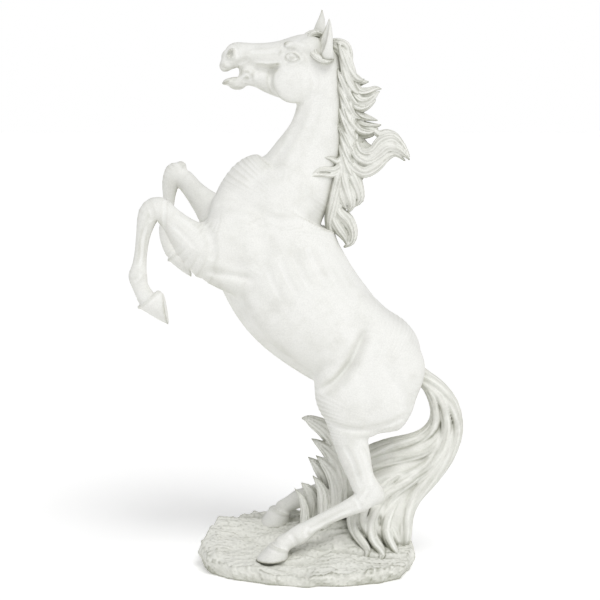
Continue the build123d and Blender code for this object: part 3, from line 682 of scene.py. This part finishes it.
# ------------------------------------------------------------------ mane, forelock, tail and the blades
# Each lock is a row of stations (x, y, z, depth, width) from its root to its tip.
HAIR = {
    "forelock": [
        [
            (34, -6, 1150, 18, 26), (14, -12, 1156, 18, 26), (1, -18, 1142, 14, 18),
            (5, -30, 1118, 13, 13), (22, -38, 1102, 12, 10), (42, -39, 1097, 8, 8),
            (52, -35, 1102, 3, 4),
        ],
        [(42, -8, 1140, 16, 20), (20, -20, 1138, 15, 17), (14, -32, 1118, 10, 12), (26, -38, 1107, 6, 7)],
        [(34, 6, 1150, 18, 24), (12, 8, 1157, 17, 22), (-6, 4, 1150, 13, 14), (-10, -8, 1138, 5, 7)],
        [(36, 16, 1140, 16, 20), (16, 24, 1140, 14, 16), (4, 30, 1124, 10, 11), (10, 34, 1108, 5, 6)],
    ],
    "mane_crest": [
        [
            (46, -2, 1136, 16, 22), (60, -4, 1139, 18, 26), (78, -4, 1132, 20, 28),
            (87, -4, 1113, 16, 24), (86, -5, 1092, 14, 20),
        ],
        [
            (56, -2, 1126, 26, 34), (74, -5, 1112, 26, 36), (80, -7, 1076, 28, 38),
            (84, -7, 1030, 28, 38), (88, -7, 980, 32, 40), (84, -7, 925, 38, 42), (74, -7, 865, 40, 42),
            (62, -7, 805, 36, 40), (54, -6, 762, 26, 32),
        ],
        [
            (84, -6, 1108, 14, 20), (92, -6, 1082, 16, 22), (98, -5, 1062, 14, 18),
            (107, -4, 1050, 7, 9), (116, -4, 1050, 3, 3),
        ],
        [
            (80, -14, 1100, 12, 14), (86, -16, 1070, 16, 16), (92, -16, 1044, 14, 16),
            (104, -12, 1030, 8, 10),
        ],
        [
            (74, -18, 1060, 14, 14), (78, -20, 1010, 18, 16), (84, -20, 960, 20, 16),
            (82, -20, 910, 20, 18), (76, -20, 880, 12, 14),
        ],
        [
            (76, 10, 1100, 16, 18), (82, 10, 1040, 20, 20), (88, 10, 980, 22, 22),
            (84, 10, 910, 24, 22), (72, 8, 840, 24, 24), (58, 6, 780, 18, 22),
        ],
        [
            (80, -10, 930, 14, 16), (74, -16, 904, 15, 16), (62, -23, 889, 14, 12),
            (46, -31, 896, 10, 9), (28, -37, 898, 3, 4),
        ],
        [
            (76, -14, 892, 15, 16), (64, -22, 878, 15, 14), (50, -27, 872, 13, 11),
            (24, -41, 873, 11, 8), (0, -49, 858, 3, 4),
        ],
        [
            (74, -14, 876, 14, 16), (60, -24, 864, 13, 12), (46, -29, 860, 12, 10),
            (22, -42, 862, 9, 8), (-6, -52, 857, 3, 4),
        ],
        [(80, -12, 1000, 22, 20), (80, -17, 950, 24, 20), (78, -18, 910, 22, 20), (72, -16, 880, 14, 16)],
        [(76, -12, 1090, 16, 18), (78, -15, 1050, 18, 16), (82, -16, 1010, 16, 14)],
        [
            (72, -14, 888, 14, 20), (60, -22, 845, 20, 22), (52, -22, 800, 22, 22),
            (45, -17, 760, 16, 18), (46, -12, 736, 6, 8),
        ],
    ],
    "mane_upper": [
        [(82, -2, 1084, 18, 24), (98, -4, 1066, 18, 22), (114, -6, 1056, 14, 16), (126, -8, 1056, 4, 5)],
        [
            (80, -4, 1086, 18, 24), (92, -6, 1060, 22, 28), (106, -8, 1036, 22, 26),
            (126, -8, 1036, 18, 22), (142, -8, 1042, 12, 14), (154, -8, 1041, 3, 5),
        ],
        [
            (80, -6, 1066, 20, 26), (90, -8, 1038, 24, 28), (106, -10, 1018, 24, 26),
            (126, -10, 1018, 20, 22), (140, -9, 1028, 13, 14), (150, -8, 1036, 3, 4),
        ],
        [
            (80, -8, 1046, 20, 24), (88, -10, 1018, 22, 26), (102, -12, 1002, 20, 24),
            (120, -11, 1002, 16, 20), (136, -10, 1012, 8, 10), (142, -9, 1018, 3, 3),
        ],
        [(82, -6, 1024, 16, 20), (92, -8, 1002, 16, 20), (106, -8, 992, 12, 16), (122, -8, 998, 5, 6)],
    ],
    "mane_middle": [
        [
            (84, -6, 1020, 18, 22), (98, -8, 996, 18, 22), (114, -9, 984, 17, 20),
            (132, -9, 979, 12, 14), (146, -9, 975, 3, 5),
        ],
        [
            (84, -4, 1016, 18, 22), (94, -4, 990, 20, 24), (108, -6, 970, 18, 22),
            (128, -6, 964, 16, 18), (146, -6, 964, 9, 10), (154, -6, 966, 3, 4),
        ],
        [
            (84, -8, 994, 18, 22), (94, -10, 968, 20, 24), (110, -12, 952, 18, 22),
            (130, -12, 950, 14, 18), (146, -10, 958, 5, 7),
        ],
        [
            (86, -2, 974, 18, 24), (98, -4, 952, 16, 22), (114, -4, 942, 14, 18),
            (134, -6, 944, 10, 12), (142, -8, 950, 4, 5),
        ],
    ],
    "mane_great": [
        [(92, -2, 960, 22, 20), (106, -4, 934, 26, 20), (122, -6, 918, 24, 18), (138, -8, 914, 16, 14)],
        [
            (84, -8, 968, 24, 26), (80, -10, 920, 30, 30), (92, -14, 882, 32, 30),
            (118, -18, 868, 30, 27), (142, -20, 879, 28, 24), (162, -20, 898, 24, 20),
            (184, -20, 905, 14, 14), (204, -20, 891, 4, 6),
        ],
        [
            (92, -8, 962, 22, 26), (90, -12, 926, 26, 28), (102, -16, 900, 26, 28),
            (126, -20, 890, 26, 26), (148, -22, 903, 26, 24), (168, -22, 919, 24, 22),
            (190, -22, 915, 20, 18), (208, -20, 900, 10, 12), (214, -19, 892, 3, 4),
        ],
        [
            (100, -8, 958, 18, 22), (101, -12, 930, 20, 24), (114, -17, 909, 20, 24),
            (136, -20, 911, 22, 24), (154, -20, 931, 27, 24), (178, -20, 938, 26, 22),
            (200, -20, 920, 17, 15), (214, -19, 900, 4, 5),
        ],
        [
            (104, -8, 952, 14, 18), (118, -6, 958, 14, 18), (136, -8, 955, 15, 18),
            (150, -12, 946, 16, 20), (166, -15, 950, 15, 18), (186, -17, 943, 12, 13),
            (204, -19, 922, 4, 5),
        ],
    ],
    "mane_shoulder": [
        [
            (78, -8, 892, 30, 32), (92, -12, 862, 34, 34), (105, -14, 832, 28, 30),
            (109, -13, 808, 20, 22), (98, -11, 793, 5, 8),
        ],
        [
            (70, -12, 882, 24, 26), (77, -17, 846, 28, 28), (87, -19, 816, 28, 28),
            (92, -17, 796, 18, 20), (84, -13, 780, 5, 6),
        ],
        [(62, -10, 884, 22, 24), (63, -15, 842, 24, 26), (69, -17, 812, 22, 24), (80, -15, 790, 8, 10)],
        [(76, 2, 880, 26, 26), (88, 2, 842, 28, 28), (98, 0, 812, 20, 22), (92, -2, 796, 6, 8)],
    ],
    "mane_withers": [
        [(52, -2, 836, 22, 30), (49, -4, 796, 28, 34), (46, -4, 758, 22, 30), (50, -4, 736, 8, 12)],
        [
            (54, -8, 806, 22, 28), (66, -10, 780, 28, 32), (84, -10, 763, 30, 30),
            (95, -9, 740, 24, 25), (93, -8, 717, 16, 18), (78, -8, 706, 6, 8),
        ],
        [
            (47, -8, 806, 18, 24), (50, -12, 772, 24, 28), (64, -13, 747, 26, 27),
            (77, -11, 729, 20, 20), (84, -9, 712, 8, 9),
        ],
        [(43, -6, 786, 16, 22), (45, -10, 752, 20, 25), (51, -11, 730, 16, 18), (62, -9, 716, 4, 6)],
    ],
    "tail": [
        [
            (228, 0, 438, 34, 40), (257, 0, 420, 25, 38), (287, 0, 396, 26, 44), (311, 0, 362, 28, 50),
            (321, 0, 322, 30, 54), (317, 0, 284, 32, 56), (299, 0, 242, 36, 56), (270, -2, 202, 38, 54),
            (240, -4, 167, 38, 52), (219, -6, 130, 34, 48), (212, -8, 95, 32, 46),
            (209, -8, 60, 32, 46), (202, -8, 28, 24, 40),
        ],
        [
            (234, 0, 426, 30, 36), (258, 0, 406, 24, 38), (284, 0, 380, 26, 48), (297, 0, 345, 28, 54),
            (301, 0, 308, 30, 58), (290, 0, 268, 32, 58), (266, -2, 232, 34, 58),
            (234, -4, 206, 36, 56), (202, -8, 184, 36, 52), (177, -12, 158, 34, 48),
            (166, -16, 126, 32, 46), (174, -18, 92, 30, 44), (190, -18, 58, 26, 40),
            (186, -16, 26, 20, 34),
        ],
        [
            (244, 0, 420, 20, 32), (262, 0, 396, 20, 38), (275, 0, 366, 20, 46), (280, 0, 336, 22, 50),
            (273, 0, 311, 24, 54), (252, 2, 290, 24, 54), (222, 4, 277, 24, 54), (186, 8, 268, 26, 54),
            (150, 10, 256, 28, 52), (120, 12, 242, 28, 48), (96, 12, 228, 26, 44),
        ],
        [
            (290, 0, 296, 20, 44), (262, 0, 262, 28, 52), (228, 2, 248, 28, 56), (190, 4, 240, 28, 56),
            (154, 8, 230, 30, 54), (124, 10, 214, 30, 48), (98, 10, 196, 30, 44),
        ],
        [
            (270, 0, 240, 20, 44), (236, 0, 222, 26, 54), (198, 2, 210, 28, 56), (162, 4, 198, 30, 54),
            (130, 6, 180, 30, 48), (104, 6, 160, 28, 44), (90, 4, 136, 24, 38),
        ],
        [
            (268, 2, 236, 14, 30), (240, -4, 212, 22, 44), (206, -12, 188, 26, 50),
            (172, -18, 170, 28, 48), (148, -22, 142, 27, 44), (142, -26, 112, 26, 42),
            (154, -30, 86, 25, 38), (174, -32, 64, 22, 34), (180, -32, 38, 19, 30),
            (172, -28, 14, 12, 20),
        ],
        [
            (236, -2, 222, 12, 30), (196, -10, 204, 20, 40), (154, -20, 176, 26, 44),
            (124, -28, 142, 25, 42), (118, -34, 110, 24, 38), (132, -40, 82, 22, 34),
            (154, -44, 60, 18, 30), (163, -46, 38, 16, 24), (158, -44, 20, 8, 14),
        ],
        [
            (170, -2, 206, 12, 30), (132, -12, 182, 20, 36), (103, -24, 142, 22, 36),
            (96, -36, 108, 21, 32), (103, -50, 86, 19, 28), (118, -64, 68, 17, 24),
            (128, -76, 54, 14, 20), (124, -90, 42, 8, 12),
        ],
        [
            (190, -6, 184, 12, 30), (160, -20, 152, 20, 36), (138, -38, 112, 22, 34),
            (140, -56, 76, 20, 30), (154, -70, 58, 18, 26), (160, -82, 46, 13, 20),
            (152, -96, 36, 7, 12),
        ],
        [
            (206, -8, 170, 12, 30), (180, -22, 132, 20, 36), (168, -40, 92, 20, 34),
            (180, -56, 60, 18, 28), (190, -66, 46, 14, 22), (188, -80, 34, 8, 12),
        ],
    ],
    "blades": [
        [
            (84, 4, 130, 56, 44), (86, 4, 196, 56, 42), (79, 4, 244, 54, 40), (61, 5, 280, 50, 38),
            (38, 6, 303, 42, 34), (14, 7, 318, 31, 26), (-2, 7, 326, 18, 16), (-14, 7, 327, 3, 5),
        ],
        [
            (76, -6, 130, 46, 38), (75, -6, 192, 44, 34), (63, -6, 231, 40, 28), (44, -5, 256, 32, 22),
            (24, -4, 273, 19, 15), (7, -4, 284, 2, 3),
        ],
        [
            (66, -14, 120, 40, 34), (65, -14, 172, 38, 28), (54, -13, 207, 33, 23),
            (36, -12, 231, 23, 17), (17, -11, 248, 2, 3),
        ],
        [
            (50, 8, 110, 44, 38), (49, 8, 162, 42, 34), (39, 8, 196, 38, 28), (22, 8, 219, 28, 22),
            (10, 8, 231, 15, 13), (0, 8, 240, 2, 3),
        ],
        [(38, -12, 90, 38, 30), (37, -12, 142, 34, 26), (29, -11, 176, 25, 19), (9, -10, 204, 2, 3)],
        [(8, 14, 80, 50, 36), (12, 14, 130, 46, 30), (3, 14, 160, 32, 22), (-14, 12, 180, 4, 6)],
        [(-8, -6, 70, 28, 22), (-6, -6, 116, 23, 17), (-13, -6, 148, 15, 11), (-30, -6, 174, 2, 3)],
    ],
}
# Short locks that start on the neck's near side and fall back across the crest, one below the other.
for number, top in enumerate(range(1122, 900, -26)):
    sway = 3 * np.sin(1.9 * number)
    HAIR["mane_crest"].append([
        (64 + sway, -17, top + 10, 7, 8), (69 + sway, -21, top - 6, 12, 12), (77, -23, top - 26, 15, 15),
        (87, -22, top - 46, 16, 16), (99, -17, top - 60, 14, 14), (110, -12, top - 64, 9, 9),
        (118, -10, top - 60, 2, 3),
    ])
# What lies under the locks.
FILL = {
    "tail": [
        [
            (250, 0, 250, 60, 40), (215, 0, 215, 80, 46), (190, 0, 160, 76, 56), (180, -4, 100, 66, 56),
            (180, -6, 30, 56, 50),
        ],
        [
            (292, 0, 300, 40, 44), (262, 0, 272, 50, 46), (222, 2, 250, 56, 46), (170, 6, 236, 56, 44),
            (110, 10, 214, 56, 38),
        ],
        [(240, -2, 214, 44, 46), (180, -4, 196, 50, 48), (134, -6, 168, 44, 44), (120, -10, 130, 40, 40)],
    ],
    "blades": [[(46, 4, 60, 84, 50), (56, 4, 110, 70, 44), (68, 4, 170, 50, 34)]],
}
STANDS_FOR = {
    "forelock": ("forelock",), "mane_crest": ("mane_crest",), "mane_upper": ("mane_upper_lock",),
    "mane_middle": ("mane_middle_lock",), "mane_great": ("mane_great_lock",),
    "mane_shoulder": ("mane_shoulder_lock",), "mane_withers": ("mane_withers_lock",),
    "tail": ("tail", "tail_wrap"), "blades": ("grass_clump",),
}


def plaited(rows, size, wind):
    """Round strands that lie side by side on a lock's surface and run its whole length."""
    lock = eased(rows, 2)
    p, a, b = lock[:, :3], lock[:, 3] / 2, lock[:, 4] / 2
    along = np.gradient(p, axis=0)
    across = np.column_stack([-along[:, 2], 0 * a, along[:, 0]])
    across /= np.linalg.norm(across, axis=1)[:, None]
    run = np.concatenate([[0], np.cumsum(np.linalg.norm(np.diff(p, axis=0), axis=1))])
    count = int(round(np.pi * (a + b).max() / size))
    thick = np.minimum(size * 1.25, 1.1 * np.minimum(a, b))
    found = []
    for k in range(count):
        turn = 2 * np.pi * k / count + wind * run + 0.25 * np.sin(run / 30 + 2.1 * k)
        at = p + across * ((a - 0.3 * thick) * np.cos(turn))[:, None]
        at[:, 1] += (b - 0.3 * thick) * np.sin(turn)
        found.append(Sweep(np.column_stack([at, thick, thick]), steps=1))
    return found


def union(forms):
    """The field of forms (form, k) that each run into those before them over a width k."""

    def field(q, reach):
        d = forms[0][0](q, reach)
        for form, k in forms[1:]:
            d = smooth_min(d, form(q, reach), k)
        return d

    return field


def slimmer(rows, by):
    """A lock's rows made thinner, to lie under its strands."""
    return [(x, y, z, max(depth - by, 2), max(width - by, 2)) for x, y, z, depth, width in rows]


def flowing(locks, fills, size):
    """A mass of hair: plain locks under a layer of fine strands that follow them."""
    under = [(Sweep(slimmer(rows, 5)), 7) for rows in locks] + [(fill, 7) for fill in fills]
    strands = []
    for number, rows in enumerate(locks):
        strands += [(strand, 1.2) for strand in plaited(rows, size, 0.002 * (-1) ** number)]
    return union(under + strands)


def grooved(rows, phase):
    """A lock with its strands wound gently round it."""
    count = int(round(max(r[4] for r in rows) / 4.6)) + 2
    return Sweep(rows, strands=count, groove=2.4, twist=0.014, phase=phase)


LOWEST = 10  # hair is cut off here, inside the rock
for number, (name, locks) in enumerate(HAIR.items()):
    fills = [Sweep(rows) for rows in FILL.get(name, [])]
    if name == "tail":
        forms = [Sweep(rows) for rows in locks]
        field = flowing(locks, fills, 10.0)
    else:
        forms = [grooved(rows, 1.7 * i + number) for i, rows in enumerate(locks)]
        field = union([(form, 1.5) for form in forms] + [(fill, 4) for fill in fills])
    forms += fills
    low = np.min([f.low for f in forms], axis=0) - MARGIN
    high = np.max([f.high for f in forms], axis=0) + MARGIN
    low[2] = max(low[2], LOWEST)
    made = sculpt(field, low, high, 2.0 if fills else 1.5)
    slot = "grass_stone" if name == "blades" else "washed_hair_stone"
    piece("hair_" + name, *made, HAIR_STONE, slot, *STANDS_FOR[name])

# ------------------------------------------------------------------ the rock base
RIM = np.array([
    (-243, -20), (-222, -76), (-166, -122), (-90, -156), (0, -170), (86, -165), (156, -147),
    (208, -112), (234, -50), (238, 20), (214, 86), (150, 132), (60, 154), (-40, 160),
    (-130, 150), (-204, 118), (-236, 50),
], float)
RIM_HEIGHT = 32
RIM_TAPER = 0.045
ROCK_HEIGHT = 50
FRONT_SLOPE, BACK_SLOPE = 0.114, 0.19
RECESS_SHARE, RECESS_HEIGHT = 0.862, 8.5


def outline(xy):
    """Distance to the rim's outline seen from above, less than 0 inside."""
    best = np.full(len(xy), 1e9)
    inside = np.ones(len(xy), bool)
    for i in range(len(RIM)):
        a, b = RIM[i], RIM[(i + 1) % len(RIM)]
        ab = b - a
        rel = xy - a
        t = np.clip((rel @ ab) / (ab @ ab), 0, 1)
        best = np.minimum(best, np.linalg.norm(rel - t[:, None] * ab, axis=1))
        inside &= (ab[0] * rel[:, 1] - ab[1] * rel[:, 0]) > 0
    return np.where(inside, -best, best)


def rock_top(q):
    """The height of the rock's top: sloping up to the back, with a mound and ridges along it."""
    x, y = q[:, 0], q[:, 1]
    flat = np.column_stack([x, y, 0 * x])
    top = ROCK_HEIGHT + np.where(y > 0, BACK_SLOPE, FRONT_SLOPE) * y
    top += 66 * np.exp(-(((x - 76) / 84) ** 2) - (((y - 10) / 72) ** 2))
    bend = flat + np.column_stack([0 * x, 14 * noise(flat, 90), 0 * x])
    top += 8 * noise(bend * (0.35, 1.2, 1), 36)
    top += 7 * (0.5 - np.abs(noise(bend * (0.4, 1.5, 1) + 50, 17)))
    top -= 5 * np.exp(-((noise(bend * (0.3, 1.0, 1) + 90, 30) / 0.12) ** 2))
    top += 1.6 * noise(flat * (0.7, 1.3, 1) + 20, 7)
    top += 11 * np.exp(-(((x + 195) / 46) ** 2) - (((y - 50) / 90) ** 2))
    return top


def rock(q, reach):
    """The rough rock, widest at the rim, with the closing plate's recess under it."""
    z = q[:, 2]
    spread = 1 - RIM_TAPER * np.clip(np.abs(z - RIM_HEIGHT) / RIM_HEIGHT, 0, 1.2)
    side = outline(q[:, :2] / spread[:, None]) * spread
    side += 1.5 + 4.5 * noise(q * (1, 1, 0.8), 34)
    side += 4.5 * (0.5 - np.abs(noise(q * (1, 1, 0.6) + 30, 14)))
    side += noise(q, 5)
    d = smooth_max(side, z - rock_top(q) + 1.8 * noise(q, 5.5), 3)
    d = np.maximum(d, -z)
    inner = np.maximum(outline(q[:, :2] / RECESS_SHARE) * RECESS_SHARE, z - RECESS_HEIGHT)
    return np.maximum(d, -inner)


piece("rock", *sculpt(rock, (-256, -184, -8), (252, 176, 136), 2.2), ROCK_STONE, "rough_rock_stone", "rock_base")

# ------------------------------------------------------------------ the pieces inside and underneath
CAST_PLATE = plain("closing_plate", (0.62, 0.62, 0.58), 0.85, grain=260, bump=0.5, spread=0.12)
STEEL = plain("armature_steel", (0.42, 0.41, 0.40), 0.5, metallic=1.0, grain=180, bump=0.2)
ZINC = plain("fastener_steel", (0.66, 0.67, 0.68), 0.32, metallic=1.0, grain=400)
RUBBER = plain("bung_rubber", (0.035, 0.035, 0.037), 0.7, grain=500, bump=0.3)
for material, names in (
    (CAST_PLATE, ("base_plate",)),
    (STEEL, ("armature_foot_plate", "hind_leg_bar_left", "hind_leg_bar_right", "foreleg_bar_left",
             "foreleg_bar_right", "tail_bar", "neck_bar", "spine_tube", "hip_beam", "shoulder_beam")),
    (ZINC, ("base_plate_screws", "foot_plate_bolts", "foot_plate_nuts")),
    (RUBBER, ("ballast_bung",)),
):
    for name in names:
        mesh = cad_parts[name].data
        mesh.materials.clear()
        mesh.materials.append(material)

# ------------------------------------------------------------------ studio
sun_data = bpy.data.lights.new("soft_key", "SUN")
sun_data.energy = 1.5
sun_data.angle = 0.5
sun = bpy.data.objects.new("soft_key", sun_data)
sun.rotation_euler = Vector((0.9, -1.9, 3.2)).to_track_quat("Z", "Y").to_euler()
bpy.context.scene.collection.objects.link(sun)
world = bpy.data.worlds.new("studio")
world.use_nodes = True
background = world.node_tree.nodes["Background"]
background.inputs["Color"].default_value = (1, 1, 1, 1)
direction = world.node_tree.nodes.new("ShaderNodeTexCoord")
parts = world.node_tree.nodes.new("ShaderNodeSeparateXYZ")
world.node_tree.links.new(direction.outputs["Generated"], parts.inputs["Vector"])
# white at the horizon, dimmer overhead
strength = mapped(world.node_tree, parts.outputs["Z"], 0.12, 0.4, 1.0, 0.36)
world.node_tree.links.new(strength, background.inputs["Strength"])
bpy.context.scene.world = world
bpy.context.scene.view_settings.view_transform = "Standard"

FLOOR_HALF, FLOOR_DROP = 30, -0.0005
corners = [(x * FLOOR_HALF, y * FLOOR_HALF, FLOOR_DROP) for x, y in ((-1, -1), (1, -1), (1, 1), (-1, 1))]
floor_mesh = bpy.data.meshes.new("floor")
floor_mesh.from_pydata(corners, [], [(0, 1, 2, 3)])
floor = bpy.data.objects.new("floor", floor_mesh)
floor_paint = bpy.data.materials.new("floor_paint")
floor_paint.use_nodes = True
floor_shader = floor_paint.node_tree.nodes["Principled BSDF"]
floor_shader.inputs["Base Color"].default_value = (0.93, 0.93, 0.93, 1)
floor_shader.inputs["Roughness"].default_value = 0.8
floor_shader.inputs["Emission Color"].default_value = (1, 1, 1, 1)
floor_shader.inputs["Emission Strength"].default_value = 0.3
floor_mesh.materials.append(floor_paint)
bpy.context.scene.collection.objects.link(floor)

camera_data = bpy.data.cameras.new("camera")
camera_data.lens = 89.825
camera_data.sensor_width = 36
camera = bpy.data.objects.new("camera", camera_data)
camera.location = (-0.0177, -3.2, 1.05)
looking_at = Vector((-0.0177, 0, 0.58962))
camera.rotation_euler = (looking_at - camera.location).to_track_quat("-Z", "Y").to_euler()
bpy.context.scene.collection.objects.link(camera)
bpy.context.scene.camera = camera
